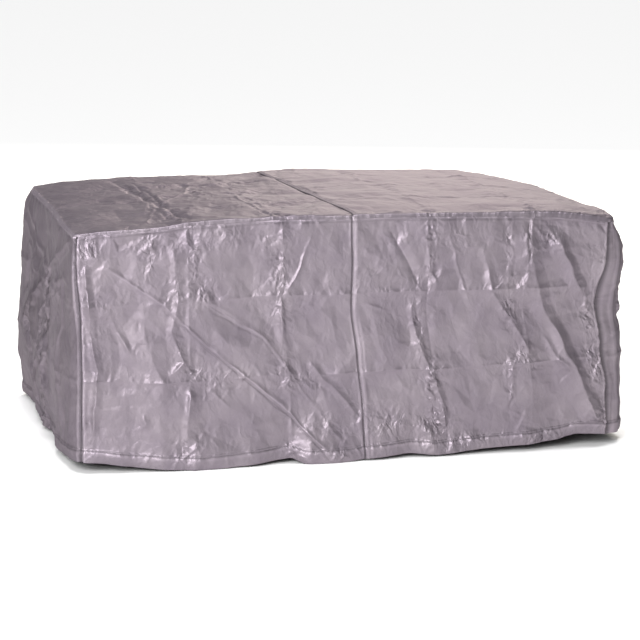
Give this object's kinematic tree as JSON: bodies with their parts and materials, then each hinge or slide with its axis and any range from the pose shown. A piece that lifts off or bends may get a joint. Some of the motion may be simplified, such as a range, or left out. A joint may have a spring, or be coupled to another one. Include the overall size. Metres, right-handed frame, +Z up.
{
  "type": "patio furniture cover",
  "caption": "Box-shaped cover of satin coated cloth for patio furniture, open below, sewn from panels, with a raised top seam, a lapped middle seam and creased, loosely hanging skirts.",
  "frame": {"origin": "on the ground, under the middle of the cover's box", "axes": "+X along the length, to the right of someone who stands before the front; the front faces -Y; +Z up"},
  "size_m": [1.8381, 1.2891, 0.7831],
  "materials": {
    "top_left_cloth": "lilac-grey coated polyester cloth with a satin sheen",
    "top_right_cloth": "lilac-grey coated polyester cloth with a satin sheen",
    "front_left_cloth": "lilac-grey coated polyester cloth with a satin sheen",
    "front_right_cloth": "lilac-grey coated polyester cloth with a satin sheen",
    "back_left_cloth": "lilac-grey coated polyester cloth with a satin sheen",
    "back_right_cloth": "lilac-grey coated polyester cloth with a satin sheen",
    "end_left_cloth": "lilac-grey coated polyester cloth with a satin sheen",
    "end_right_cloth": "lilac-grey coated polyester cloth with a satin sheen"
  },
  "bodies": {
    "root": {"top_left": "top_left_cloth", "top_right": "top_right_cloth", "front_left": "front_left_cloth", "front_right": "front_right_cloth", "back_left": "back_left_cloth", "back_right": "back_right_cloth", "end_left": "end_left_cloth", "end_right": "end_right_cloth"}
  },
  "joints": []
}
